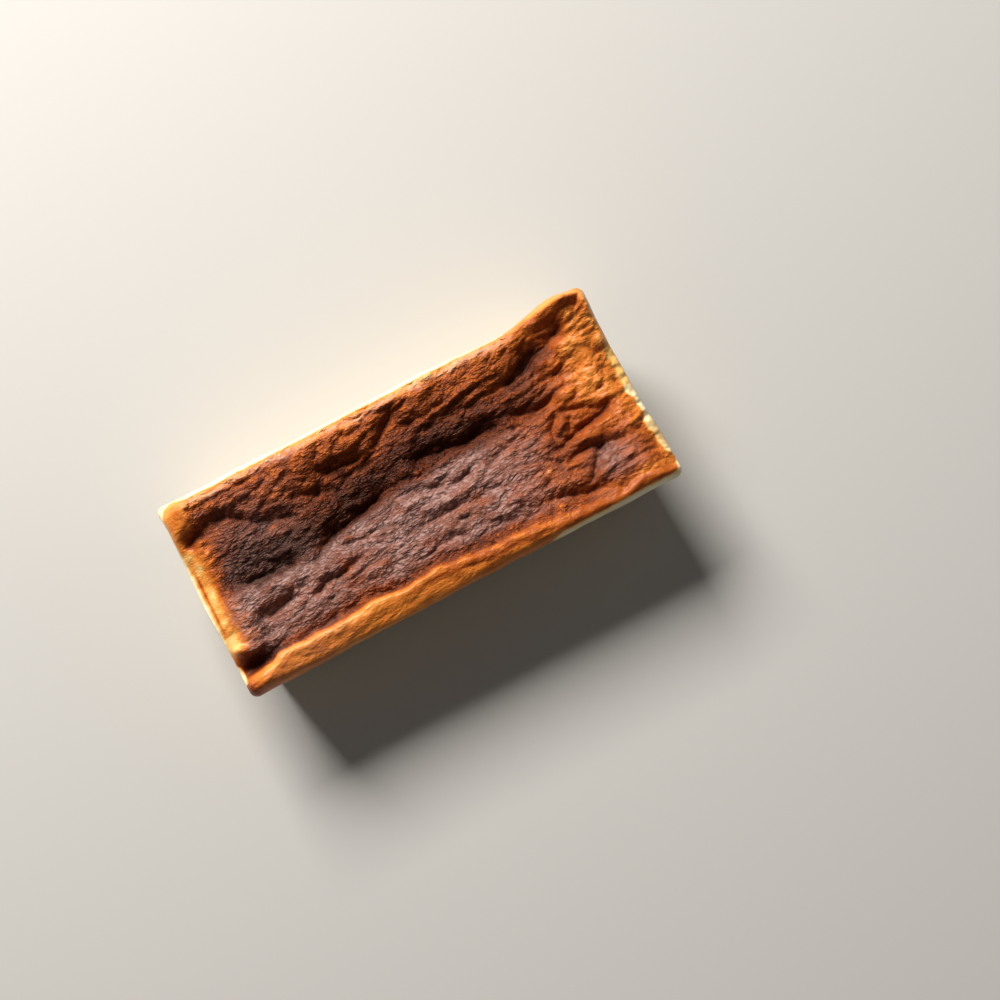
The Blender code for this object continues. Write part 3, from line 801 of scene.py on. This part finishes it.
ragged = 0.0
for size, noise_level, push in RAGGED:
    ragged = ragged + push * waver(x / size, y / size, noise_level)
along_north = eased(y, *NORTH_SIDE) * (1.0 - by_ear)
along_east = eased(x, *EAST_SIDE)
for across in EAST_SIDE_ENDS:
    along_east *= eased(y, *across)
along_south = eased(y, *SOUTH_SIDE)
far_south = eased(x, *SOUTH_SIDE_EAST_PART)
along_west = eased(x, *WEST_SIDE) * eased(y, *WEST_SIDE_END)
at_tip = eased(x, *WEST_SIDE)
for across in TIP_ENDS:
    at_tip *= eased(y, *across)
north_west, loss = NORTH_WEST_LOSS
south_end = SKIN_END["south, east part"] * far_south + SKIN_END["south, west part"] * (1.0 - far_south)
skin_end = SKIN_END["north"] * along_north * (1.0 - loss * eased(x, *north_west))
skin_end += SKIN_END["east"] * along_east + SKIN_END["west"] * along_west
skin_end += south_end * along_south
skin_end += SKIN_END["south-west tip"] * at_tip + SKIN_END["ear"] * by_ear + SKIN_END["everywhere"]
least, more_east = RAGGED_SHARE
skin_end += ragged * (least + more_east * along_east)
reach_in = np.where(on_top, edge, z - shoulder_height(x, y))
cover = smooth(0.5 + (reach_in - skin_end) / np.where(on_top, SKIN_EDGE_TOP, SKIN_EDGE_WALL))

# The bare custard is cream, a little yellower down the walls, in blotches, at the tip and along the east edge
PALE_BROWN = 0.04
PALE_WALLS = (8.0, 0.06)
PALE_BLOTCHES = 0.04
PALE_PATCHES = 0.03
PALE_TIP = 0.08
PALE_EAST = 0.04
PALE_EAST_ENDS = (((-4.0, 6.0), 0.12), ((-14.0, -5.0), 0.07))

run, gain = PALE_WALLS
below = np.where(on_top, 0.0, SHOULDER_HEIGHT - z)
pale = PALE_BROWN + gain * smooth(below / run) + PALE_TIP * at_tip
pale += PALE_BLOTCHES * blotch + PALE_PATCHES * patch
pale_east = PALE_EAST
for across, gain in PALE_EAST_ENDS:
    pale_east = pale_east + gain * eased(y, *across)
pale = pale + on_top * along_east * pale_east
brown_and_shade = np.clip(pale + (brown_and_shade - pale) * cover, 0.0, 1.0)

# Painted sheen
# On the plateau, on the south-east lump and along the north rim a greyish painted sheen is mixed into the
# colour, with less of it on the slope at the north-west. It stops at the valley, and the deep pocket has
# none.
PAINTED_SHEEN_PLATEAU = 0.58
# Its edge along the valley: where it runs at the west and how much further north at the east, over what
# stretch it shifts, and how softly it ends there. Then the same ends at the south rim and at the cake's ends
PAINTED_SHEEN_VALLEY = (-1.0, 7.0)
PAINTED_SHEEN_VALLEY_RUN = (-50.0, 50.0)
PAINTED_SHEEN_VALLEY_EDGE = -5.0
PAINTED_SHEEN_RIM = (-4.0, -4.0)
PAINTED_SHEEN_ENDS = ((-85.0, 5.0), (60.0, -35.0))
# The painted sheen at the north-west, on the lump and along the crest, and the pocket that has none
PAINTED_SHEEN_NORTH_WEST = 0.14
PAINTED_SHEEN_NORTH_WEST_ENDS = ((-36.0, -14.0), (-82.0, 7.0))
PAINTED_SHEEN_NORTH_WEST_TOP = (33.0, -5.0)
PAINTED_SHEEN_LUMP = ((71, -24), 8.0, 6.0, 0, 0.60)
PAINTED_SHEEN_CREST = 0.60
PAINTED_SHEEN_POCKET = ((-82, -28), 8.0, 5.0, 8, 1.0)
PAINTED_SHEEN_PATCHES = 0.6

valley_start, valley_shift = PAINTED_SHEEN_VALLEY
valley_line = valley_start + valley_shift * eased(wx, *PAINTED_SHEEN_VALLEY_RUN)
sheen_paint = PAINTED_SHEEN_PLATEAU * eased(wy, valley_line, PAINTED_SHEEN_VALLEY_EDGE) * eased(past_crest, *PAINTED_SHEEN_RIM)
for along in PAINTED_SHEEN_ENDS:
    sheen_paint *= eased(wx, *along)
sheen_paint_north_west = PAINTED_SHEEN_NORTH_WEST * eased(wy, *PAINTED_SHEEN_NORTH_WEST_TOP)
for along in PAINTED_SHEEN_NORTH_WEST_ENDS:
    sheen_paint_north_west *= eased(wx, *along)
for other in (sheen_paint_north_west, swell(wx, wy, *PAINTED_SHEEN_LUMP), PAINTED_SHEEN_CREST * sheen):
    sheen_paint = np.maximum(sheen_paint, other)
sheen_paint *= 1.0 - swell(wx, wy, *PAINTED_SHEEN_POCKET)
sheen_paint = np.clip(sheen_paint * cover * on_top * (1.0 + PAINTED_SHEEN_PATCHES * (blotch + patch)), 0.0, 1.0)

# How strongly the skin's finest crinkles show: not on the walls or near the outline, and less at the east end
CRINKLE_EDGE = (0.4, 2.0)
CRINKLE_EAST = ((46.0, 16.0), 0.5)

along, loss = CRINKLE_EAST
crinkly = cover * on_top * stretched(wx, wy) * eased(edge, *CRINKLE_EDGE) * (1.0 - loss * eased(wx, *along))
for name, values in (("browning_and_shade", brown_and_shade), ("skin", cover), ("painted_sheen", sheen_paint), ("crinkled", crinkly)):
    body_mesh.attributes.new(name, "FLOAT", "POINT").data.foreach_set("value", values)


# Colour and surface of the baked skin and the custard
# One browning scale runs from cream through yellow, orange and red-brown to near black, broken up by mottling
# and tiny scorched bubbles. The skin is satin where it is dark and moister where it is orange. The custard is
# smooth and slightly translucent.
BROWNING_SCALE = (
    (0.00, (0.93, 0.82, 0.60)),
    (0.10, (0.91, 0.72, 0.40)),
    (0.20, (0.88, 0.50, 0.15)),
    (0.30, (0.82, 0.32, 0.062)),
    (0.42, (0.66, 0.185, 0.025)),
    (0.54, (0.38, 0.080, 0.011)),
    (0.66, (0.200, 0.041, 0.011)),
    (0.78, (0.110, 0.023, 0.008)),
    (0.90, (0.052, 0.010, 0.004)),
    (1.00, (0.024, 0.005, 0.002)),
)
# Greyish colour of the painted sheen
PAINTED_SHEEN_COLOUR = (0.45, 0.28, 0.245, 1.0)
# Each noise: its scale, detail, roughness, and how it is squeezed along x, y and z
MOTTLE = (420.0, 4.0, 0.62, (0.55, 1.0, 1.0))
GRAIN = (1500.0, 3.0, 0.6, (1.0, 1.0, 1.0))
CRINKLE = (640.0, 1.0, 0.5, (0.5, 1.0, 1.0))
FINE_CRINKLE = (1250.0, 1.0, 0.5, (0.6, 1.0, 1.0))
BUBBLE_SCALE = 620.0
BUBBLE_EDGE = (0.16, 0.30)
# How much each of them moves the browning
MOTTLE_BROWN = 0.42
GRAIN_BROWN = 0.50
# The crinkles move it as painted shade in their creases and painted light on their backs
CRINKLE_SHADE = 0.6
FINE_CRINKLE_SHADE = 0.5
BUBBLE_BROWN = 0.035
ALL_OVER_MOTTLE = 0.10
# The crinkles' level that leaves the browning as it is
CRINKLE_LEVEL = 0.09
# Share of all that, as a slope and a start: it grows with the browning, the skin's cover and its crinkles
SHARE_BY_BROWNING = (1.7, -0.15)
SHARE_BY_SKIN = (0.85, 0.15)
SHARE_BY_CRINKLES = (0.75, 0.25)
# The painted sheen calms the browning's shifts
PAINTED_SHEEN_CALMS = 1.1
# The painted sheen lies more thickly on the backs of the crinkles, as painted glints
PAINTED_SHEEN_SHARE = (4.5, 0.22)
ROUGHNESS = (0.34, 0.52)
# Relief of the crinkles and the grain on the skin, and of the grain alone everywhere
CRINKLE_RELIEF = 1.7
FINE_CRINKLE_RELIEF = 0.7
GRAIN_RELIEF = 0.25
ALL_OVER_RELIEF = 0.05
RELIEF_HEIGHT = 0.0009
SPECULAR = 0.24
SPECULAR_TINT = (1.0, 0.64, 0.48, 1.0)
# Moist gloss: full below the first browning, none above the second
MOIST_BROWNING = (0.36, 0.56)
MOIST_GLOSS = 0.30
MOIST_ROUGHNESS = 0.28
CUSTARD_GLOW = 0.06
CUSTARD_GLOW_REACH = (1.0, 0.5, 0.25)
CUSTARD_GLOW_SCALE = 0.002

material = bpy.data.materials.new("baked_skin_and_custard")
material.use_nodes = True
nodes = material.node_tree.nodes
links = material.node_tree.links
surface = nodes["Principled BSDF"]
coordinates = nodes.new("ShaderNodeTexCoord")


def math_node(operation, a, b, clamp=False):
    """The result of a sum on two values, each a number or a socket."""
    node = nodes.new("ShaderNodeMath")
    node.operation = operation
    node.use_clamp = clamp
    for socket, value in zip(node.inputs, (a, b)):
        if isinstance(value, (int, float)):
            socket.default_value = value
        else:
            links.new(value, socket)
    return node.outputs[0]


def added(a, b, clamp=False):
    """The sum of two values."""
    return math_node("ADD", a, b, clamp)


def times(a, b):
    """The product of two values."""
    return math_node("MULTIPLY", a, b)


def less(a, b):
    """The first value less the second."""
    return math_node("SUBTRACT", a, b)


def on_line(value, slope, start, clamp=False):
    """A value times a slope, from a start."""
    return added(times(value, slope), start, clamp)


def ranged(value, low, high, at_low, at_high):
    """A value carried from the range low to high onto at_low to at_high, and held at its ends."""
    node = nodes.new("ShaderNodeMapRange")
    for name, number in (("From Min", low), ("From Max", high), ("To Min", at_low), ("To Max", at_high)):
        node.inputs[name].default_value = number
    links.new(value, node.inputs["Value"])
    return node.outputs["Result"]


def noise_node(scale, detail, roughness, squeeze):
    """Soft noise over the cake, 0 to 1."""
    mapping = nodes.new("ShaderNodeMapping")
    mapping.inputs["Scale"].default_value = squeeze
    links.new(coordinates.outputs["Object"], mapping.inputs["Vector"])
    node = nodes.new("ShaderNodeTexNoise")
    node.inputs["Scale"].default_value = scale
    node.inputs["Detail"].default_value = detail
    node.inputs["Roughness"].default_value = roughness
    links.new(mapping.outputs["Vector"], node.inputs["Vector"])
    return node.outputs["Fac"]


def crinkles(*values):
    """Noise folded at its middle: 0 along sharp creases, rising between them."""
    return math_node("ABSOLUTE", less(noise_node(*values), 0.5), 0.0)


def on_points(name):
    """A value kept on the mesh's points."""
    node = nodes.new("ShaderNodeAttribute")
    node.attribute_name = name
    return node.outputs["Fac"]


browning_and_shade = on_points("browning_and_shade")
skin_cover = on_points("skin")
painted_sheen = on_points("painted_sheen")
crinkled = on_points("crinkled")
mottle = noise_node(*MOTTLE)
grain = noise_node(*GRAIN)
crinkle = crinkles(*CRINKLE)
fine_crinkle = crinkles(*FINE_CRINKLE)
bubbles = nodes.new("ShaderNodeTexVoronoi")
bubbles.inputs["Scale"].default_value = BUBBLE_SCALE
bubbles.inputs["Randomness"].default_value = 1.0
links.new(coordinates.outputs["Object"], bubbles.inputs["Vector"])
bubble = ranged(bubbles.outputs["Distance"], *BUBBLE_EDGE, 1.0, 0.0)

# The browning is moved by the mottle, the grain and bubbles, and by painted shade and light on the crinkles
crinkle_shading = times(less(CRINKLE_LEVEL, crinkle), CRINKLE_SHADE)
crinkle_shading = added(crinkle_shading, times(less(CRINKLE_LEVEL, fine_crinkle), FINE_CRINKLE_SHADE))
shift = added(times(less(mottle, 0.5), MOTTLE_BROWN), times(less(grain, 0.5), GRAIN_BROWN))
shift = added(shift, times(crinkle_shading, crinkled))
shift = added(shift, times(bubble, BUBBLE_BROWN))
share = times(on_line(browning_and_shade, *SHARE_BY_BROWNING, clamp=True), on_line(skin_cover, *SHARE_BY_SKIN))
share = times(share, less(1.0, times(painted_sheen, PAINTED_SHEEN_CALMS)))
share = times(share, on_line(crinkled, *SHARE_BY_CRINKLES))
shift = added(times(shift, share), times(less(mottle, 0.5), ALL_OVER_MOTTLE))
ramp = nodes.new("ShaderNodeValToRGB")
ramp.color_ramp.interpolation = "EASE"
while len(ramp.color_ramp.elements) < len(BROWNING_SCALE):
    ramp.color_ramp.elements.new(0.5)
for element, (position, colour) in zip(ramp.color_ramp.elements, BROWNING_SCALE):
    element.position = position
    element.color = (*colour, 1.0)
links.new(added(browning_and_shade, shift, clamp=True), ramp.inputs["Fac"])

# The painted sheen is mixed over the browning colour
sheen_mix = nodes.new("ShaderNodeMix")
sheen_mix.data_type = "RGBA"
links.new(times(painted_sheen, on_line(crinkle, *PAINTED_SHEEN_SHARE, clamp=True)), sheen_mix.inputs["Factor"])
links.new(ramp.outputs["Color"], sheen_mix.inputs["A"])
sheen_mix.inputs["B"].default_value = PAINTED_SHEEN_COLOUR
links.new(sheen_mix.outputs["Result"], surface.inputs["Base Color"])
links.new(ranged(mottle, 0.0, 1.0, *ROUGHNESS), surface.inputs["Roughness"])

height = added(times(crinkle, CRINKLE_RELIEF), times(fine_crinkle, FINE_CRINKLE_RELIEF))
height = times(added(height, times(grain, GRAIN_RELIEF)), crinkled)
bump = nodes.new("ShaderNodeBump")
bump.inputs["Strength"].default_value = 1.0
bump.inputs["Distance"].default_value = RELIEF_HEIGHT
links.new(added(height, times(grain, ALL_OVER_RELIEF)), bump.inputs["Height"])
links.new(bump.outputs["Normal"], surface.inputs["Normal"])

moist = ranged(browning_and_shade, *MOIST_BROWNING, MOIST_GLOSS, 0.0)
links.new(times(moist, skin_cover), surface.inputs["Coat Weight"])
surface.inputs["Coat Roughness"].default_value = MOIST_ROUGHNESS
surface.inputs["Specular IOR Level"].default_value = SPECULAR
surface.inputs["Specular Tint"].default_value = SPECULAR_TINT
surface.inputs["Subsurface Weight"].default_value = CUSTARD_GLOW
surface.inputs["Subsurface Radius"].default_value = CUSTARD_GLOW_REACH
surface.inputs["Subsurface Scale"].default_value = CUSTARD_GLOW_SCALE
body_mesh.materials.append(material)

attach(body, "root")
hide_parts("cheesecake")
